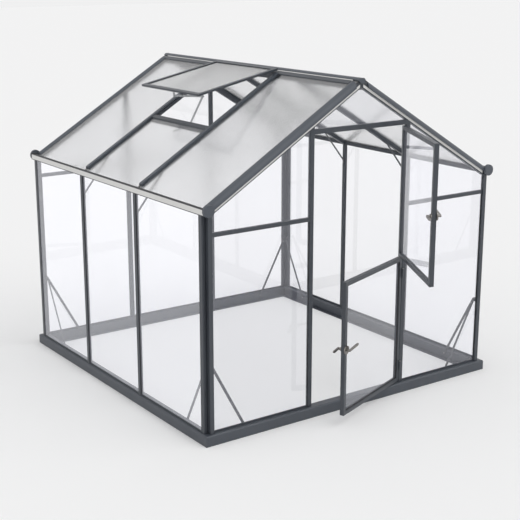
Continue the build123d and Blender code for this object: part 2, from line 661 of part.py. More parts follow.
gable_lower_panes("front_lower_panes", -1, FRONT_BAYS)
gable_lower_panes("back_lower_panes", 1, BACK_BAYS)
gable_upper_panes("front_upper_panes", -1, FRONT_BAYS)
gable_upper_panes("back_upper_panes", 1, BACK_BAYS)

with BuildPart() as front_apex_pane:
    slab_xz(
        [
            (HEADER_LEFT, HEADER_TOP - PANE_IN_GROOVE), (HEADER_RIGHT, HEADER_TOP - PANE_IN_GROOVE),
            (HEADER_RIGHT, RIDGE_Z), (HEADER_LEFT, RIDGE_Z),
        ],
        -(GABLE_GLASS_Y + PANE / 2), -(GABLE_GLASS_Y - PANE / 2),
    )
    cut_above_gable_rafters()
finish(front_apex_pane.part, "front_apex_pane")

# Flat braces in the foot of every corner, and knee braces under the rafters. A corner brace lies on the inner
# face of the base and stands off the post by a spacer.
BRACE_Y = BASE_Y - BASE_WIDTH
BRACE_X = BASE_X - BASE_WIDTH
BRACE_TOP_X = BAY_X + EDGE_ROUND
BRACE_TOP_Y = BAY_Y + EDGE_ROUND
with BuildPart() as corner_braces:
    spacer_foot = BRACE_TOP_Z - STRIP_WIDTH
    slab_xz(
        [
            (BRACE_TOP_X, BRACE_TOP_Z), (BRACE_TOP_X + STRIP_WIDTH, BRACE_TOP_Z),
            (BRACE_TOP_X + STRIP_WIDTH - BRACE_REACH, BRACE_FOOT_Z), (BRACE_TOP_X - BRACE_REACH, BRACE_FOOT_Z),
        ],
        -BRACE_Y, -(BRACE_Y - STRIP),
    )
    block(BRACE_TOP_X, BRACE_TOP_X + STRIP_WIDTH / 2, -(CORNER_Y - CORNER_DEPTH), -BRACE_Y, spacer_foot,
          BRACE_TOP_Z)
    slab_yz(
        [
            (-BRACE_TOP_Y, BRACE_TOP_Z), (-(BRACE_TOP_Y + STRIP_WIDTH), BRACE_TOP_Z),
            (-(BRACE_TOP_Y + STRIP_WIDTH - BRACE_REACH), BRACE_FOOT_Z),
            (-(BRACE_TOP_Y - BRACE_REACH), BRACE_FOOT_Z),
        ],
        BRACE_X - STRIP, BRACE_X,
    )
    block(BRACE_X, CORNER_X - CORNER_DEPTH, -(BRACE_TOP_Y + STRIP_WIDTH / 2), -BRACE_TOP_Y, spacer_foot,
          BRACE_TOP_Z)
    mirror(about=Plane.YZ)
    mirror(about=Plane.XZ)
finish(corner_braces.part, "corner_braces")

POST_INNER_X = HALF_WIDTH - POST_DEPTH
with BuildPart() as knee_braces:
    for y in SIDE_POSTS_Y:
        slab_xz(
            [
                (POST_INNER_X, KNEE_Z), (POST_INNER_X, KNEE_Z + KNEE_TAB),
                (KNEE_X, roof_z(KNEE_X, RAFTER_BOTTOM)), (KNEE_TAB_X, roof_z(KNEE_TAB_X, RAFTER_BOTTOM)),
                (KNEE_TAB_X, roof_z(KNEE_TAB_X, RAFTER_BOTTOM - STRIP)),
                (KNEE_X + 1, roof_z(KNEE_X + 1, RAFTER_BOTTOM - STRIP)),
                (POST_INNER_X - STRIP, KNEE_Z + KNEE_TAB - 1), (POST_INNER_X - STRIP, KNEE_Z),
            ],
            y - STRIP_WIDTH / 2, y + STRIP_WIDTH / 2,
        )
    mirror(about=Plane.YZ)
finish(knee_braces.part, "knee_braces")

with BuildPart() as brace_bolts:
    brace_slope = BRACE_REACH / (BRACE_TOP_Z - BRACE_FOOT_Z)
    bolt_heights = (BRACE_TOP_Z - 2 * STRIP_WIDTH, BRACE_FOOT_Z + STRIP_WIDTH)
    with BuildSketch(Plane.XZ.offset(BRACE_Y - STRIP)):
        for z in bolt_heights:
            with Locations((BRACE_TOP_X + STRIP_WIDTH / 2 - (BRACE_TOP_Z - z) * brace_slope, z)):
                RegularPolygon(BOLT_R, 6)
    extrude(amount=-BOLT_HEAD)
    with BuildSketch(Plane.YZ.offset(BRACE_X - STRIP)):
        for z in bolt_heights:
            with Locations((-(BRACE_TOP_Y + STRIP_WIDTH / 2 - (BRACE_TOP_Z - z) * brace_slope), z)):
                RegularPolygon(BOLT_R, 6)
    extrude(amount=-BOLT_HEAD)
    mirror(about=Plane.XZ)
    with BuildSketch(Plane.YZ.offset(POST_INNER_X - STRIP)):
        with Locations([(y, KNEE_Z + KNEE_TAB / 2) for y in SIDE_POSTS_Y]):
            RegularPolygon(BOLT_R, 6)
    extrude(amount=-BOLT_HEAD)
    mirror(about=Plane.YZ)
finish(brace_bolts.part, "brace_bolts")


# Stable door. In a leaf's own plane u runs from the hinge axis to the free stile, v outwards and w up.
def leaf_plane(opening):
    return Plane(
        origin=(HINGE_X, HINGE_Y, 0), x_dir=(-cos(opening), -sin(opening), 0), z_dir=(0, 0, 1),
    )


LEAF_BACK = -(HINGE_STANDOFF + LEAF_DEPTH)
LEAF_MIDDLE = -(HINGE_STANDOFF + LEAF_DEPTH / 2)


def knuckle(z0, z1):
    with Locations((0, 0, (z0 + z1) / 2)):
        Cylinder(KNUCKLE_R, z1 - z0)


def bore_knuckles(z0, z1):
    with Locations((0, 0, (z0 + z1) / 2)):
        Cylinder(PIN_R + RUN, z1 - z0, mode=Mode.SUBTRACT)


def hinge_heights(foot_z, top_z):
    return [foot_z + HINGE_INSET, top_z - HINGE_INSET]


def door_leaf(prefix, opening, foot_z, top_z):
    plane = leaf_plane(opening)
    middle_z = (foot_z + top_z) / 2
    inner_start = LEAF_START + LEAF_BAR
    inner_end = LEAF_END - LEAF_BAR
    with BuildPart(plane) as leaf_frame:
        block(LEAF_START, LEAF_END, LEAF_BACK, -HINGE_STANDOFF, foot_z, top_z)
        block(inner_start, inner_end, LEAF_BACK, -HINGE_STANDOFF, foot_z + LEAF_BAR, top_z - LEAF_BAR,
              mode=Mode.SUBTRACT)
        block(inner_start - GROOVE_DEPTH, inner_end + GROOVE_DEPTH, LEAF_MIDDLE - GROOVE / 2,
              LEAF_MIDDLE + GROOVE / 2, foot_z + LEAF_BAR - GROOVE_DEPTH,
              top_z - LEAF_BAR + GROOVE_DEPTH, mode=Mode.SUBTRACT)
        with Locations((SPINDLE_U, LEAF_MIDDLE, middle_z)):
            Cylinder(SPINDLE_R + RUN, 2 * LEAF_DEPTH, rotation=(90, 0, 0), mode=Mode.SUBTRACT)
    finish(leaf_frame.part, f"{prefix}_leaf_frame")

    with BuildPart(plane) as leaf_pane:
        block(inner_start - PANE_IN_GROOVE, inner_end + PANE_IN_GROOVE, LEAF_MIDDLE - PANE / 2,
              LEAF_MIDDLE + PANE / 2, foot_z + LEAF_BAR - PANE_IN_GROOVE, top_z - LEAF_BAR + PANE_IN_GROOVE)
    finish(leaf_pane.part, f"{prefix}_leaf_pane")

    third = HINGE_HEIGHT / 3
    with BuildPart(plane) as leaf_hinges:
        for hinge_z in hinge_heights(foot_z, top_z):
            low = hinge_z - HINGE_HEIGHT / 2
            high = hinge_z + HINGE_HEIGHT / 2
            plate_from = KNUCKLE_R - HINGE_PLATE
            block(plate_from, HINGE_REACH, -HINGE_STANDOFF, HINGE_PLATE - HINGE_STANDOFF, low, high)
            for z0, z1 in ((low, low + third - KNUCKLE_GAP), (high - third + KNUCKLE_GAP, high)):
                block(0, plate_from, -HINGE_STANDOFF, HINGE_PLATE - HINGE_STANDOFF, z0, z1)
                knuckle(z0, z1)
            bore_knuckles(low, high)
    finish(leaf_hinges.part, f"{prefix}_leaf_hinges")

    rose_front = ROSE_LIFT + ROSE_THICK - HINGE_STANDOFF
    with BuildPart(plane) as roses:
        with Locations((SPINDLE_U, ROSE_LIFT / 2 - HINGE_STANDOFF, middle_z)):
            Cylinder(ROSE_HUB_R, ROSE_LIFT, rotation=(90, 0, 0))
        with Locations((SPINDLE_U, rose_front - ROSE_THICK / 2, middle_z)):
            Cylinder(ROSE_R, ROSE_THICK, rotation=(90, 0, 0))
        with Locations((SPINDLE_U, LEAF_BACK - ROSE_THICK / 2, middle_z)):
            Cylinder(INNER_ROSE_R, ROSE_THICK, rotation=(90, 0, 0))
        with Locations((SPINDLE_U, LEAF_MIDDLE, middle_z)):
            Cylinder(SPINDLE_R + RUN, 4 * LEAF_DEPTH, rotation=(90, 0, 0), mode=Mode.SUBTRACT)
    finish(roses.part, f"{prefix}_roses")

    outer_face = rose_front + KNUCKLE_GAP
    inner_face = LEAF_BACK - ROSE_THICK - KNUCKLE_GAP
    outer_end = outer_face + NECK
    inner_end_v = inner_face - NECK

    def lever_arm(v_face, direction, length):
        """Rounded flat arm, direction 1 towards the free stile and -1 towards the hinge."""
        tilt = LEVER_TILT
        centre_u = SPINDLE_U + direction * cos(tilt) * length / 2
        centre_z = middle_z - direction * sin(tilt) * length / 2
        with Locations((centre_u, v_face, centre_z)):
            Box(length, LEVER_THICK, LEVER_WIDTH, rotation=(0, degrees(tilt), 0))
        for reach in (0, length):
            end_u = SPINDLE_U + direction * cos(tilt) * reach
            end_z = middle_z - direction * sin(tilt) * reach
            with Locations((end_u, v_face, end_z)):
                Cylinder(LEVER_WIDTH / 2, LEVER_THICK, rotation=(90, 0, 0))

    with BuildPart(plane) as lever:
        with Locations((SPINDLE_U, (outer_end + inner_end_v) / 2, middle_z)):
            Cylinder(SPINDLE_R, outer_end - inner_end_v, rotation=(90, 0, 0))
        with Locations((SPINDLE_U, outer_face + NECK / 2, middle_z)):
            Cylinder(NECK_R, NECK, rotation=(90, 0, 0))
        with Locations((SPINDLE_U, inner_face - NECK / 2, middle_z)):
            Cylinder(NECK_R, NECK, rotation=(90, 0, 0))
        lever_arm(outer_end, -1, OUTER_LEVER)
        lever_arm(inner_end_v, 1, INNER_LEVER)
    finish(lever.part, f"{prefix}_lever")


door_leaf("lower", LOWER_OPEN, LOWER_FOOT_Z, LOWER_TOP_Z)
door_leaf("upper", UPPER_OPEN, UPPER_FOOT_Z, UPPER_TOP_Z)

with BuildPart(leaf_plane(UPPER_OPEN)) as meeting_seal:
    block(LEAF_START + LEAF_BAR, LEAF_END - LEAF_BAR, LEAF_MIDDLE - SEAL_DEPTH / 2,
          LEAF_MIDDLE + SEAL_DEPTH / 2, LOWER_TOP_Z + 1, UPPER_FOOT_Z)
finish(meeting_seal.part, "meeting_seal")

ALL_HINGES = hinge_heights(LOWER_FOOT_Z, LOWER_TOP_Z) + hinge_heights(UPPER_FOOT_Z, UPPER_TOP_Z)
with BuildPart(Plane((HINGE_X, HINGE_Y, 0))) as post_hinges:
    for hinge_z in ALL_HINGES:
        low = hinge_z - HINGE_HEIGHT / 2
        high = hinge_z + HINGE_HEIGHT / 2
        middle_low = hinge_z - HINGE_HEIGHT / 6
        middle_high = hinge_z + HINGE_HEIGHT / 6
        plate_from = KNUCKLE_R - HINGE_PLATE
        plate_front = HINGE_STANDOFF - HINGE_PLATE
        block(plate_from, HINGE_REACH, plate_front, HINGE_STANDOFF, low, high)
        block(0, plate_from, plate_front, HINGE_STANDOFF, middle_low, middle_high)
        knuckle(middle_low, middle_high)
        bore_knuckles(low, high)
finish(post_hinges.part, "post_hinges")

with BuildPart(Plane((HINGE_X, HINGE_Y, 0))) as hinge_pins:
    for hinge_z in ALL_HINGES:
        head_z = hinge_z + HINGE_HEIGHT / 2 + KNUCKLE_GAP
        with Locations((0, 0, hinge_z)):
            Cylinder(PIN_R, HINGE_HEIGHT + 2 * KNUCKLE_GAP)
        with Locations((0, 0, head_z + HINGE_PLATE / 2)):
            Cylinder(KNUCKLE_R, HINGE_PLATE)
finish(hinge_pins.part, "hinge_pins")

# Roof vent. In the leaf's own plane u runs from the hinge axis to the free edge, w stands off the leaf.
VENT_HINGE = (-VENT_HINGE_X, roof_z(VENT_HINGE_X, VENT_HINGE_RISE))
VENT_FALL = PITCH - VENT_OPEN


def vent_plane(fall, x, z):
    return Plane(
        origin=(x, VENT_MIDDLE_Y, z), x_dir=(-cos(fall), 0, -sin(fall)), z_dir=(-sin(fall), 0, cos(fall)),
    )


VENT_PLANE = vent_plane(VENT_FALL, *VENT_HINGE)
VENT_END = VENT_START + VENT_LENGTH
VENT_HALF_DEPTH = VENT_DEPTH / 2
VENT_GROOVE = VENT_SHEET + 2 * GROOVE_CLEARANCE
with BuildPart(VENT_PLANE) as vent_frame:
    inner_y = VENT_HALF_Y - VENT_BAR
    block(VENT_START, VENT_END, -VENT_HALF_Y, VENT_HALF_Y, -VENT_HALF_DEPTH, VENT_HALF_DEPTH)
    block(VENT_START + VENT_BAR, VENT_END - VENT_BAR, -inner_y, inner_y, -VENT_HALF_DEPTH, VENT_HALF_DEPTH,
          mode=Mode.SUBTRACT)
    block(VENT_START + VENT_BAR - GROOVE_DEPTH, VENT_END - VENT_BAR + GROOVE_DEPTH, -inner_y - GROOVE_DEPTH,
          inner_y + GROOVE_DEPTH, -VENT_GROOVE / 2, VENT_GROOVE / 2, mode=Mode.SUBTRACT)
finish(vent_frame.part, "vent_frame")

with BuildPart(VENT_PLANE) as vent_sheet:
    block(VENT_START + VENT_BAR - PANE_IN_GROOVE, VENT_END - VENT_BAR + PANE_IN_GROOVE,
          -inner_y - PANE_IN_GROOVE, inner_y + PANE_IN_GROOVE, -VENT_SHEET / 2, VENT_SHEET / 2)
finish(vent_sheet.part, "vent_sheet")


def vent_barrel(y_middle, radius, length, mode=Mode.ADD):
    with Locations((0, y_middle, 0)):
        Cylinder(radius, length, rotation=(90, 0, 0), mode=mode)


with BuildPart(VENT_PLANE) as vent_leaf_knuckles:
    for y in VENT_HINGES_Y:
        for end in (-1, 1):
            middle = y + end * (VENT_KNUCKLE + KNUCKLE_GAP)
            vent_barrel(middle, VENT_KNUCKLE_R, VENT_KNUCKLE)
            block(0, VENT_START, middle - VENT_KNUCKLE / 2, middle + VENT_KNUCKLE / 2, -VENT_PIN_R - 1,
                  VENT_PIN_R + 1)
        vent_barrel(y, VENT_PIN_R + RUN, 4 * VENT_KNUCKLE, mode=Mode.SUBTRACT)
finish(vent_leaf_knuckles.part, "vent_leaf_knuckles")

with BuildPart(vent_plane(PITCH, *VENT_HINGE)) as vent_hinge_brackets:
    foot_w = EAVE_WALL + 1 - VENT_HINGE_RISE
    for y in VENT_HINGES_Y:
        vent_barrel(y, VENT_KNUCKLE_R, VENT_KNUCKLE)
        block(-VENT_KNUCKLE_R, VENT_KNUCKLE_R, y - VENT_KNUCKLE / 2, y + VENT_KNUCKLE / 2, foot_w, 0)
        vent_barrel(y, VENT_PIN_R, 3.2 * VENT_KNUCKLE)
finish(vent_hinge_brackets.part, "vent_hinge_brackets")

# Vent opener. Both outer pivots lie OPENER_R from the hinge axis, so the two arms mirror each other.
pivot_tilt = asin(OPENER_PIVOT_DROP / OPENER_R)
leaf_pivot_fall = VENT_FALL + pivot_tilt
bar_pivot_fall = PITCH + pivot_tilt + OPENER_GAP
spread = bar_pivot_fall - leaf_pivot_fall
middle_fall = (leaf_pivot_fall + bar_pivot_fall) / 2
elbow_reach = OPENER_R * cos(spread / 2) - (OPENER_ARM**2 - (OPENER_R * sin(spread / 2)) ** 2) ** 0.5


def from_vent_hinge(reach, fall):
    return (VENT_HINGE[0] - reach * cos(fall), VENT_HINGE[1] - reach * sin(fall))


LEAF_PIVOT = from_vent_hinge(OPENER_R, leaf_pivot_fall)
BAR_PIVOT = from_vent_hinge(OPENER_R, bar_pivot_fall)
ELBOW = from_vent_hinge(elbow_reach, middle_fall)


def arm_plane(start, end):
    """Plane with u along the arm from its pivot, v along Y and its origin on the pivot."""
    along_x, along_z = end[0] - start[0], end[1] - start[1]
    length = hypot(along_x, along_z)
    direction = (along_x / length, 0, along_z / length)
    return Plane(
        origin=(start[0], VENT_MIDDLE_Y, start[1]), x_dir=direction, z_dir=(-direction[2], 0, direction[0]),
    )


def opener_arm(node, start, side):
    """Flat arm beside the middle plane, bored at its pivot and rounded at both ends."""
    near = ARM_GAP
    middle_v = side * (near + ARM_THICK / 2)
    with BuildPart(arm_plane(start, ELBOW)) as arm:
        with Locations((OPENER_ARM / 2, middle_v, 0)):
            Box(OPENER_ARM, ARM_THICK, ARM_WIDTH)
        for u in (0, OPENER_ARM):
            with Locations((u, middle_v, 0)):
                Cylinder(ARM_WIDTH / 2, ARM_THICK, rotation=(90, 0, 0))
        with Locations((0, middle_v, 0)):
            Cylinder(ARM_PIN_R + RUN, 2 * ARM_THICK, rotation=(90, 0, 0), mode=Mode.SUBTRACT)
        if side > 0:
            boss = 2 * ARM_GAP - ARM_SIDE_GAP
            with Locations((OPENER_ARM, near - boss / 2, 0)):
                Cylinder(ARM_WIDTH / 2 - 1, boss, rotation=(90, 0, 0))
    finish(arm.part, node)


opener_arm("opener_lower_arm", BAR_PIVOT, 1)
opener_arm("opener_upper_arm", LEAF_PIVOT, -1)


def opener_bracket(node, pivot, fall, side, strap):
    """Plate beside an arm, with the pin that the arm turns on and a strap up to what carries it."""
    inner_v = side * (ARM_GAP + ARM_THICK + ARM_SIDE_GAP)
    outer_v = inner_v + side * ARM_BRACKET
    pin_tip = side * (ARM_GAP - ARM_SIDE_GAP)
    plane = vent_plane(fall, *pivot)
    v_middle = (inner_v + outer_v) / 2
    with BuildPart(plane) as bracket:
        with Locations((0, v_middle, 0)):
            Cylinder(ARM_WIDTH / 2, ARM_BRACKET, rotation=(90, 0, 0))
        with Locations((0, (pin_tip + inner_v) / 2, 0)):
            Cylinder(ARM_PIN_R, abs(inner_v - pin_tip), rotation=(90, 0, 0))
        strap_face = Plane(
            origin=plane.from_local_coords((0, v_middle, 0)), x_dir=plane.x_dir, z_dir=-plane.y_dir,
        )
        with BuildSketch(strap_face) as strap_outline:
            with BuildLine():
                Polyline(strap, close=True)
            make_face()
        extrude(strap_outline.sketch, amount=ARM_BRACKET / 2, both=True)
    finish(bracket.part, node)


bar_pivot_rise = (BAR_PIVOT[1] - roof_z(BAR_PIVOT[0], 0)) * cos(PITCH)
bar_near_u = (CROSS_BAR_X + BAR_PIVOT[0]) / cos(PITCH) - (bar_pivot_rise - RAFTER_BOTTOM) * tan(PITCH)
bar_far_u = bar_near_u + CROSS_BAR_WIDTH / cos(PITCH)
arm_half = ARM_WIDTH / 2
leaf_face_w = OPENER_PIVOT_DROP - VENT_HALF_DEPTH
bar_face_w = RAFTER_BOTTOM - bar_pivot_rise
opener_bracket("opener_leaf_bracket", LEAF_PIVOT, VENT_FALL, 1,
               [(-arm_half, 0), (arm_half, 0), (arm_half, leaf_face_w), (-arm_half, leaf_face_w)])
opener_bracket("opener_bar_bracket", BAR_PIVOT, PITCH, -1,
               [(-arm_half, 0), (arm_half, 0), (bar_far_u, bar_face_w), (bar_near_u, bar_face_w)])

print("door hinge axis", HINGE_X, HINGE_Y)
print("lever axes", [round(v, 3) for v in leaf_plane(LOWER_OPEN).from_local_coords(
    (SPINDLE_U, 0, (LOWER_FOOT_Z + LOWER_TOP_Z) / 2))],
    [round(v, 3) for v in leaf_plane(UPPER_OPEN).from_local_coords(
        (SPINDLE_U, 0, (UPPER_FOOT_Z + UPPER_TOP_Z) / 2))])
print("vent hinge", VENT_HINGE, "leaf pivot", LEAF_PIVOT, "bar pivot", BAR_PIVOT, "elbow", ELBOW)
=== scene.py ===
# %% [markdown]
# # A walk-in greenhouse, dressed for the shelf
# The metal, glass and hinges of this greenhouse arrive as finished solids at their real size. This lesson
# gives them their finishes: powder coat, moulded plastic, clear and frosted sheet, and bare metal. It adds
# the thin black seals and two black strips of painted shade on each eave beam, and then a floor, soft
# studio light and a camera. Everything is in metres, +Z is up, and the door is in the -Y gable.

import json
import math

import bpy
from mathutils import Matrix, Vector


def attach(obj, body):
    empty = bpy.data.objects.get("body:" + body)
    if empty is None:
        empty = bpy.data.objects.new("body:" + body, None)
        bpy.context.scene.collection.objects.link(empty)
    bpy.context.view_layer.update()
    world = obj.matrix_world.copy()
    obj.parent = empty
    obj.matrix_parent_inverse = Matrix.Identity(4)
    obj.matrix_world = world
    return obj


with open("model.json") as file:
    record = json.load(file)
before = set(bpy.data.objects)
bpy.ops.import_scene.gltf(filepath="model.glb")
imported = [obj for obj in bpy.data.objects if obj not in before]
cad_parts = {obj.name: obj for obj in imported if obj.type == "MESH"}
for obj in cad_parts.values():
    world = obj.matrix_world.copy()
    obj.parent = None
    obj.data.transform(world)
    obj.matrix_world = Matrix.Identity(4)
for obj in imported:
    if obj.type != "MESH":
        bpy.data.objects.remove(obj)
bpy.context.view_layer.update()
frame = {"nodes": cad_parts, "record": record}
nodes = frame["nodes"]
record = frame["record"]
slot_of = {part["node"]: part["material_slot"] for part in record["subparts"]}

# %% [markdown]
# ## Measuring a piece
# The seals further down have to meet posts, rails and panes. Their places could be typed in, but they would
# then stay behind if a bar moved. Reading the low and high corner of a piece from its own mesh keeps them
# together.


# %% Measure a piece
def box_of(name):
    """The low and high corner of a piece, in metres."""
    piece = nodes[name]
    points = [piece.matrix_world @ vertex.co for vertex in piece.data.vertices]
    return [[pick(point[axis] for point in points) for axis in range(3)] for pick in (min, max)]


print("eave beams", box_of("eave_beams"))

# %% [markdown]
# ## A helper for finishes
# Every finish here is a small tree of shader nodes round one Principled BSDF. A helper that makes the tree,
# adds a node and joins sockets keeps each finish readable. Constants go straight onto the shader's own
# sockets.


# %% Finish helper
class Finish:
    def __init__(self, name):
        self.material = bpy.data.materials.new(name)
        self.material.use_nodes = True
        self.tree = self.material.node_tree
        self.shader = self.tree.nodes["Principled BSDF"]
        self.output = self.tree.nodes["Material Output"]

    def add(self, kind, **settings):
        node = self.tree.nodes.new(kind)
        for key, value in settings.items():
            setattr(node, key, value)
        return node

    def join(self, source, target):
        self.tree.links.new(source, target)

    def set(self, **values):
        """Constants on the shader, such as Coat_Weight=0.3 for the socket Coat Weight."""
        for key, value in values.items():
            self.shader.inputs[key.replace("_", " ")].default_value = value

    def position(self):
        return self.add("ShaderNodeNewGeometry").outputs["Position"]

    def across(self):
        """The distance from the middle of the house towards its right wall, in metres."""
        split = self.add("ShaderNodeSeparateXYZ")
        self.join(self.position(), split.inputs["Vector"])
        return split.outputs["X"]

    def noise(self, scale, detail=3.0, stretch=(1, 1, 1)):
        mapping = self.add("ShaderNodeMapping")
        mapping.inputs["Scale"].default_value = stretch
        self.join(self.position(), mapping.inputs["Vector"])
        noise = self.add("ShaderNodeTexNoise")
        noise.inputs["Scale"].default_value = scale
        noise.inputs["Detail"].default_value = detail
        self.join(mapping.outputs["Vector"], noise.inputs["Vector"])
        return noise.outputs["Fac"]

    def ramp(self, source, low, high, start=0.3, end=0.7):
        ramp = self.add("ShaderNodeValToRGB")
        for element, position, color in zip(ramp.color_ramp.elements, (start, end), (low, high)):
            element.position = position
            element.color = (*color, 1)
        self.join(source, ramp.inputs["Fac"])
        return ramp.outputs["Color"]

    def bump(self, source, distance, strength):
        bump = self.add("ShaderNodeBump")
        bump.inputs["Distance"].default_value = distance
        bump.inputs["Strength"].default_value = strength
        self.join(source, bump.inputs["Height"])
        self.join(bump.outputs["Normal"], self.shader.inputs["Normal"])


print("finish helper ready")

# %% [markdown]
# ## Powder-coated frame
# The bars are aluminium extrusions under a satin anthracite powder coat. Real powder coat has a faint
# orange peel and small changes in tone from run to run. An image of coated metal would repeat and stretch
# on long bars, so a fine noise gives the peel as bump, and a slow one shifts the tone.


# %% Powder coat
tone_scale = 3.0
peel_scale, peel_detail, peel_depth, peel_strength = 900.0, 2.0, 0.00015, 0.35


def powder_coat(name, low, high, roughness):
    finish = Finish(name)
    finish.join(finish.ramp(finish.noise(tone_scale), low, high), finish.shader.inputs["Base Color"])
    finish.set(Roughness=roughness, Metallic=0.0, Specular_IOR_Level=0.5)
    finish.bump(finish.noise(peel_scale, peel_detail), peel_depth, peel_strength)
    return finish.material


frame_coat = powder_coat("anthracite_coat", (0.042, 0.048, 0.059), (0.051, 0.058, 0.07), 0.4)
base_coat = powder_coat("anthracite_base_coat", (0.056, 0.064, 0.078), (0.066, 0.075, 0.09), 0.42)
strip_coat = powder_coat("anthracite_strip_coat", (0.052, 0.057, 0.065), (0.064, 0.069, 0.078), 0.38)
print("powder coats", frame_coat.name, base_coat.name, strip_coat.name)

# %% [markdown]
# ## Moulded plastic, rubber and off-white strips
# Caps on the ridge, the gable edges and the gutters are moulded plastic in the same anthracite, a little
# duller than the metal. The seals round the panes are black rubber, and the light trims along the roof are
# off-white strip. All three scatter light much as powder coat does, so they share its recipe with other
# tones and roughness.

# %% Plastics and rubber
cap_plastic = powder_coat("anthracite_plastic", (0.062, 0.071, 0.087), (0.074, 0.084, 0.101), 0.46)
seal_rubber = powder_coat("black_rubber", (0.02, 0.02, 0.022), (0.03, 0.03, 0.032), 0.6)
pale_strip = powder_coat("pale_strip", (0.66, 0.655, 0.64), (0.72, 0.715, 0.7), 0.45)
print("plastics and rubber", cap_plastic.name, seal_rubber.name, pale_strip.name)

# %% [markdown]
# ## Bare metal
# The levers are satin metal with a warm grey tone, the opener's arms are plain aluminium, and the bolts are
# zinc plated. Real brushing is far finer than a mesh could hold, so a noise stretched along the strokes
# stands in for it, in the tone and in a shallow bump.


# %% Bare metal
grain_scale, grain_detail, grain_depth, grain_strength = 260.0, 4.0, 0.0001, 0.4


def brushed_metal(name, low, high, roughness, stretch):
    finish = Finish(name)
    grain = finish.noise(grain_scale, grain_detail, stretch)
    finish.join(finish.ramp(grain, low, high), finish.shader.inputs["Base Color"])
    finish.set(Roughness=roughness, Metallic=1.0)
    finish.bump(grain, grain_depth, grain_strength)
    return finish.material


handle_metal = brushed_metal("handle_metal", (0.2, 0.19, 0.18), (0.3, 0.285, 0.27), 0.36, (1, 1, 6))
opener_metal = brushed_metal("opener_aluminium", (0.42, 0.43, 0.44), (0.55, 0.56, 0.57), 0.34, (1, 6, 1))
bolt_zinc = brushed_metal("bolt_zinc", (0.3, 0.3, 0.3), (0.42, 0.42, 0.42), 0.4, (1, 1, 1))
print("bare metals", handle_metal.name, opener_metal.name, bolt_zinc.name)

# %% [markdown]
# ## Sheet that lets light through
# Clear panes bend and reflect light, which a transmitting Principled shader does. Cycles would let them
# cast solid shadows, so shadow rays and diffuse rays see a tinted Transparent shader instead: light then
# falls through the walls and the roof as it should. Frosted sheet is the same shader with some roughness,
# and a thin clear coat keeps a soft sheen on its surface.


# %% See-through sheet
sheet_ior = 1.45
coat_roughness = 0.08


def sheet(name, tone_of, roughness, shadow_tint, coat=0.0):
    """tone_of takes the finish and gives the socket that colours the light passing through it."""
    finish = Finish(name)
    finish.join(tone_of(finish), finish.shader.inputs["Base Color"])
    finish.set(Roughness=roughness, IOR=sheet_ior, Transmission_Weight=1.0)
    finish.set(Coat_Weight=coat, Coat_Roughness=coat_roughness)
    clear = finish.add("ShaderNodeBsdfTransparent")
    clear.inputs["Color"].default_value = (*shadow_tint, 1)
    path = finish.add("ShaderNodeLightPath")
    either = finish.add("ShaderNodeMath", operation="MAXIMUM")
    finish.join(path.outputs["Is Shadow Ray"], either.inputs[0])
    finish.join(path.outputs["Is Diffuse Ray"], either.inputs[1])
    mix = finish.add("ShaderNodeMixShader")
    finish.join(either.outputs["Value"], mix.inputs["Fac"])
    finish.join(finish.shader.outputs["BSDF"], mix.inputs[1])
    finish.join(clear.outputs["BSDF"], mix.inputs[2])
    finish.join(mix.outputs["Shader"], finish.output.inputs["Surface"])
    return finish


def even_tone(tint):
    """One tint with a change of a hundredth, as between two spots of the same sheet."""
    paler = [min(1, channel * 1.01) for channel in tint]
    return lambda finish: finish.ramp(finish.noise(2.0), tint, paler)


print("sheet recipe ready")

# %% [markdown]
# ## Clear wall panes
# The walls are clear, very slightly blue sheet, and a clean pane would vanish on a pale floor. A faint
# glow, set as emission in the panes, is painted reflection: it stands in for the bright sky mirrored on a
# pane, and the pane is no lamp. It is stronger on the left wall than on the rest, chosen by place alone:
# that is a choice of look, and the real panes are all alike. A lamp could do the same only by also lighting
# the bars.

# %% Clear panes
wall_pane_finish = sheet("clear_pane", even_tone((0.946, 0.947, 0.957)), 0.0, (0.98, 0.983, 0.986))
# Painted reflection: the panes glow faintly, more on the left wall, in place of the bright sky mirrored in
# them.
painted_pane_reflection, painted_left_wall_reflection = (0.025, 0.0253, 0.0295), (0.058, 0.0588, 0.066)
glow_zero = -0.5  # a ramp reads 0 to 1, so the distance to the left is counted from here
glow_from, glow_to = 0.62, 0.64  # 1.12 m and 1.14 m left of the middle, just inside the left wall
leftward = wall_pane_finish.add("ShaderNodeMath", operation="SUBTRACT")
leftward.inputs[0].default_value = glow_zero
wall_pane_finish.join(wall_pane_finish.across(), leftward.inputs[1])
glow = wall_pane_finish.ramp(leftward.outputs["Value"], painted_pane_reflection, painted_left_wall_reflection, glow_from, glow_to)
wall_pane_finish.join(glow, wall_pane_finish.shader.inputs["Emission Color"])
wall_pane_finish.set(Emission_Strength=1.0)
wall_pane = wall_pane_finish.material
print("wall panes", wall_pane.name)

# %% [markdown]
# ## Frosted roof
# The roof is frosted sheet, which blurs what lies under it and passes nearly all the light. The slope left
# of the ridge gets a darker tint than the one right of it: painted shade on the left slope, so that the
# right one stays pale where it is seen from below, through the door gable. This too is a choice of look by
# place, and the real sheets are all alike. The vent's own sheet is a bit rougher and greyer.

# %% Frosted sheets
# Painted shade: the left slope's tint is darker than the right's, though the real sheets are alike.
shaded_left_slope, right_slope = (0.905, 0.907, 0.91), (0.995, 0.996, 0.998)
ridge_line, blend_end = 0.0, 0.05


def painted_slope_shade(finish):
    return finish.ramp(finish.across(), shaded_left_slope, right_slope, ridge_line, blend_end)


roof_pane = sheet("frosted_roof", painted_slope_shade, 0.17, (0.95, 0.95, 0.957), coat=0.3).material
vent_tone = even_tone((0.84, 0.842, 0.845))
vent_pane = sheet("frosted_vent", vent_tone, 0.2, (0.82, 0.82, 0.82), coat=0.3).material
print("frosted sheets", roof_pane.name, vent_pane.name)

# %% [markdown]
# ## Dressing the solids
# Each solid keeps its shape and place. Only its material slot changes, by the slot name that the record
# gives it, so a piece that is added to the record later gets its finish here without a new line.

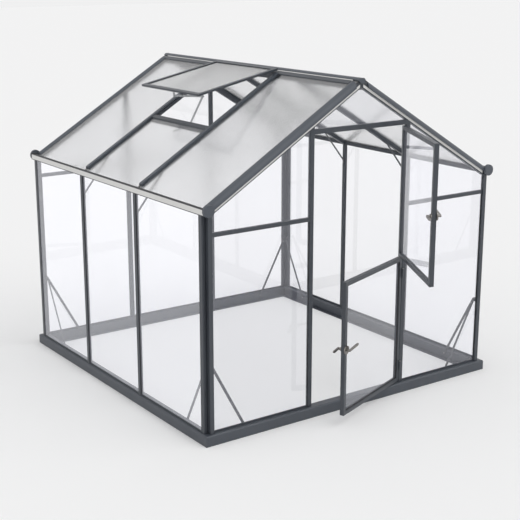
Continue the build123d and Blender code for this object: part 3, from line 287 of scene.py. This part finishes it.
# %% Assign
finish_of = {
    "base": base_coat,
    "frame_paint": frame_coat,
    "dark_plastic": cap_plastic,
    "pale_trim": pale_strip,
    "steel_parts": strip_coat,
    "bolts": bolt_zinc,
    "roof_sheet": roof_pane,
    "vent_sheet": vent_pane,
    "wall_glass": wall_pane,
    "handle_metal": handle_metal,
    "opener_metal": opener_metal,
    "seal_rubber": seal_rubber,
}
for name, piece in nodes.items():
    for slot in piece.material_slots:
        slot.material = finish_of[slot_of[name]]
print("dressed", len(nodes))

# %% [markdown]
# ## Seals
# Panes in a house like this usually stand in a black rubber gasket. Along the gutter, black strips under
# the low edge of the roof sheets are painted shade, standing in for the shadow gap there. The gaskets are
# thin pushed-in lengths with square ends and the strips are thin too, so a plain box each is enough and no
# curve or bevel would show. Each box is made in the plane of its pane and rides on the body that carries
# the pane, so it swings with the door.


# %% Seal boxes
def seal(name, body, corners, turn=0.0, pivot=(0.0, 0.0)):
    """A box between two corners in metres, turned about an upright line through pivot."""
    low = [min(pair) for pair in zip(*corners)]
    high = [max(pair) for pair in zip(*corners)]
    points = [(x, y, z) for x in (low[0], high[0]) for y in (low[1], high[1]) for z in (low[2], high[2])]
    cosine, sine = math.cos(turn), math.sin(turn)
    turned = [(pivot[0] + x * cosine - y * sine, pivot[1] + x * sine + y * cosine, z) for x, y, z in points]
    faces = [(0, 1, 3, 2), (4, 6, 7, 5), (0, 4, 5, 1), (2, 3, 7, 6), (0, 2, 6, 4), (1, 5, 7, 3)]
    mesh = bpy.data.meshes.new(name)
    mesh.from_pydata(turned, [], faces)
    mesh.materials.append(seal_rubber)
    piece = bpy.data.objects.new(name, mesh)
    bpy.context.scene.collection.objects.link(piece)
    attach(piece, body)
    return piece


seals = []
seal_width = 0.004
print("seal box ready", seal_width)

# %% [markdown]
# ## Side wall seals
# A seal stands at both upright edges of each side pane, on the pane's outer face. Three panes lie between
# the corner posts and the two side posts, so the bays follow from the posts. Two black strips of painted
# shade, standing in for the shadow gap under the roof sheets, lie on the eave beam, measured in from the
# beam's outer face and up from its top.

# %% Side wall seals
post_width = 0.03
clear_of_sill, clear_of_eave, clear_of_rail = 0.001, 0.0005, 0.001
corner_leg_end = 1.107  # where the corner post's leg ends along the side wall
pane_x = box_of("side_panes")[1][0]
first_post, last_post = (corner[1] for corner in box_of("side_posts"))
eave_x, eave_y, eave_top = box_of("eave_beams")[1]
seal_foot = box_of("glazing_sills")[1][2] + clear_of_sill
side_head = box_of("side_posts")[1][2] - clear_of_eave
side_bays = (
    (-corner_leg_end, first_post),
    (first_post + post_width, last_post - post_width),
    (last_post, corner_leg_end),
)
# Painted shade: the strip and the lip are black lengths standing in for the shadow gap under the low edge
# of the roof sheets.
gutter_shade_runs = {
    "gutter_shadow_strip": {"inward": (0.0208, 0.0084), "above": (-0.014, 0.0015), "short": 0.013},
    "gutter_shadow_lip": {"inward": (0.0083, 0.0002), "above": (0.0001, 0.0023), "short": 0.001},
}


def painted_gutter_shadow(name, side, inward, above, short):
    """A black length of painted shade on the eave beam: in from its outer face, above its top, and short of
    its ends.
    """
    length = eave_y - short
    inner = (side * (eave_x - inward[0]), -length, eave_top + above[0])
    outer = (side * (eave_x - inward[1]), length, eave_top + above[1])
    return seal(name, "frame", (inner, outer))


for side, name in ((-1, "left"), (1, "right")):
    for number, (y0, y1) in enumerate(side_bays):
        for edge, y in (("front", y0), ("back", y1 - seal_width)):
            inner = (side * pane_x, y, seal_foot)
            outer = (side * (pane_x + seal_width), y + seal_width, side_head)
            seals.append(seal(f"{name}_wall_seal_{number}_{edge}", "frame", (inner, outer)))
    for run, place in gutter_shade_runs.items():
        seals.append(painted_gutter_shadow(f"{name}_{run}", side, **place))
print("side wall seals", len(seals))

# %% [markdown]
# ## Gable seals
# The lower gable panes are sealed in the same way, up to the gable rail. The front gable has a bay on each
# side of the door, and the back gable has three bays round its two posts.

# %% Gable seals
rail_ends = [corner[0] for corner in box_of("gable_rails")]
door_left, door_right = (corner[0] for corner in box_of("door_posts"))
back_left, back_right = (corner[0] for corner in box_of("back_posts"))
gable_face = box_of("back_lower_panes")[1][1]
gable_head = box_of("gable_rails")[0][2] - clear_of_rail
gable_bays = {
    "front": (-1, ((rail_ends[0], door_left), (door_right, rail_ends[1]))),
    "back": (1, (
        (rail_ends[0], back_left),
        (back_left + post_width, back_right - post_width),
        (back_right, rail_ends[1]),
    )),
}
for gable, (face, bays) in gable_bays.items():
    for number, (x0, x1) in enumerate(bays):
        for edge, x in (("left", x0), ("right", x1 - seal_width)):
            inner = (x, face * gable_face, seal_foot)
            outer = (x + seal_width, face * (gable_face + seal_width), gable_head)
            seals.append(seal(f"gable_{gable}_seal_{number}_{edge}", "frame", (inner, outer)))
print("side wall and gable seals", len(seals))

# %% [markdown]
# ## Door leaf seals
# A leaf's pane has a seal on all four sides, inside the bars of the leaf. The leaf stands open, so its
# seals are made flat along the leaf, as if the hinge axis were the origin, and then turned with it. The
# hinge's place and the leaf's opening come from the record's joints: a joint's lower limit is the turn that
# would shut the leaf.

# %% Door leaf seals
leaf_bar = 0.025
leaf_start, leaf_end = 0.0015, 0.7395  # both ends of the leaf, measured from the hinge axis
seal_depths = (-0.0195, -0.0115)  # inner and outer face of the seal, within the leaf's thickness
joints = {joint["name"]: joint for joint in record["behaviour"]["joints"]}
for prefix in ("lower", "upper"):
    joint = joints[f"{prefix}_door_swing"]
    hinge = joint["pos_m"][:2]
    turn = math.radians(180 - joint["range_deg"][0])
    foot, top = (corner[2] for corner in box_of(f"{prefix}_leaf_frame"))
    u0, u1, z0, z1 = leaf_start + leaf_bar, leaf_end - leaf_bar, foot + leaf_bar, top - leaf_bar
    runs = {
        "hinge_side": ((u0, z0), (u0 + seal_width, z1)),
        "free_side": ((u1 - seal_width, z0), (u1, z1)),
        "foot": ((u0 + seal_width, z0), (u1 - seal_width, z0 + seal_width)),
        "head": ((u0 + seal_width, z1 - seal_width), (u1 - seal_width, z1)),
    }
    for run, ((ua, za), (ub, zb)) in runs.items():
        box = ((ua, seal_depths[0], za), (ub, seal_depths[1], zb))
        seals.append(seal(f"{prefix}_leaf_seal_{run}", f"{prefix}_door", box, turn, hinge))
print("all seals", len(seals))

# %% [markdown]
# ## Floor
# A wide, matt, pale floor carries the house and catches its shadow. A curved backdrop would need a bend
# that reflects in the panes, so one flat square runs far beyond the view instead and meets a world of
# nearly its tone.

# %% Floor
floor_tone = (0.935, 0.935, 0.937)
floor_reach = 60.0
floor_corners = [(x * floor_reach, y * floor_reach, 0) for x, y in ((-1, -1), (1, -1), (1, 1), (-1, 1))]
floor_mesh = bpy.data.meshes.new("studio_floor")
floor_mesh.from_pydata(floor_corners, [], [(0, 1, 2, 3)])
floor = bpy.data.objects.new("studio_floor", floor_mesh)
bpy.context.scene.collection.objects.link(floor)
floor_finish = Finish("studio_floor")
floor_finish.set(Base_Color=(*floor_tone, 1), Roughness=0.9, Specular_IOR_Level=0.0)
floor.data.materials.append(floor_finish.material)
print("floor", floor_reach)

# %% [markdown]
# ## World
# The world does two jobs. As light it is a plain white sky of moderate strength. To the eye, straight on,
# through a pane or mirrored in one, it has to look like the pale floor going on for ever, or a horizon
# would show. Two backgrounds, told apart by the kind of ray, do both without changing the light on the
# house.

# %% World
sky_light = 0.62
seen_tone = (0.872, 0.872, 0.875)
world = bpy.data.worlds.new("studio")
bpy.context.scene.world = world
world.use_nodes = True
sky = world.node_tree
lighting = sky.nodes["Background"]
lighting.inputs["Color"].default_value = (1, 1, 1, 1)
lighting.inputs["Strength"].default_value = sky_light
seen = sky.nodes.new("ShaderNodeBackground")
seen.inputs["Color"].default_value = (*seen_tone, 1)
path = sky.nodes.new("ShaderNodeLightPath")
is_seen = path.outputs["Is Camera Ray"]
for ray in ("Is Transmission Ray", "Is Glossy Ray"):
    either = sky.nodes.new("ShaderNodeMath")
    either.operation = "MAXIMUM"
    sky.links.new(is_seen, either.inputs[0])
    sky.links.new(path.outputs[ray], either.inputs[1])
    is_seen = either.outputs["Value"]
mix = sky.nodes.new("ShaderNodeMixShader")
sky.links.new(is_seen, mix.inputs["Fac"])
sky.links.new(lighting.outputs["Background"], mix.inputs[1])
sky.links.new(seen.outputs["Background"], mix.inputs[2])
sky.links.new(mix.outputs["Shader"], sky.nodes["World Output"].inputs["Surface"])
print("world", sky_light, seen_tone)

# %% [markdown]
# ## Suns
# A lamp close by would leave a bright pool on the floor. A sun keeps one strength all over, so the floor
# stays one tone out to the edges, and a wide sun gives soft shadows as a big studio light does. The key
# comes from the front right, and the weaker fill from the left.


# %% Suns
def sun(name, strength, angle, azimuth, elevation):
    """A sun that shines from a compass bearing (0 is +Y, 90 is +X) and a height in degrees."""
    lamp = bpy.data.lights.new(name, "SUN")
    lamp.energy = strength
    lamp.angle = math.radians(angle)
    holder = bpy.data.objects.new(name, lamp)
    bearing, height = math.radians(azimuth), math.radians(elevation)
    level = math.cos(height)
    source = Vector((math.sin(bearing) * level, math.cos(bearing) * level, math.sin(height)))
    holder.rotation_euler = source.to_track_quat("Z", "Y").to_euler()
    bpy.context.scene.collection.objects.link(holder)
    return holder


key_sun = sun("key_sun", strength=0.9, angle=50, azimuth=150, elevation=50)
fill_sun = sun("fill_sun", strength=0.5, angle=80, azimuth=260, elevation=45)
print("suns", key_sun.name, fill_sun.name)

# %% [markdown]
# ## Camera
# The camera stands off the left front corner, a little above the ridge, and looks slightly down, so both
# the door gable and the vent slope face it. A long lens from some eight metres away keeps the posts nearly
# parallel.

# %% Camera
camera_data = bpy.data.cameras.new("camera")
camera_data.lens = 78.0
camera_data.sensor_width = 36.0
tilt_up_from_straight_down, turn_to_the_right = 75.06, 35.24
camera = bpy.data.objects.new("camera", camera_data)
camera.location = (-4.502, -6.453, 2.827)
camera.rotation_euler = (math.radians(tilt_up_from_straight_down), 0.0, math.radians(-turn_to_the_right))
bpy.context.scene.collection.objects.link(camera)
bpy.context.scene.camera = camera
bpy.context.scene.view_settings.view_transform = "Standard"
print("camera", camera_data.lens, tuple(camera.location))
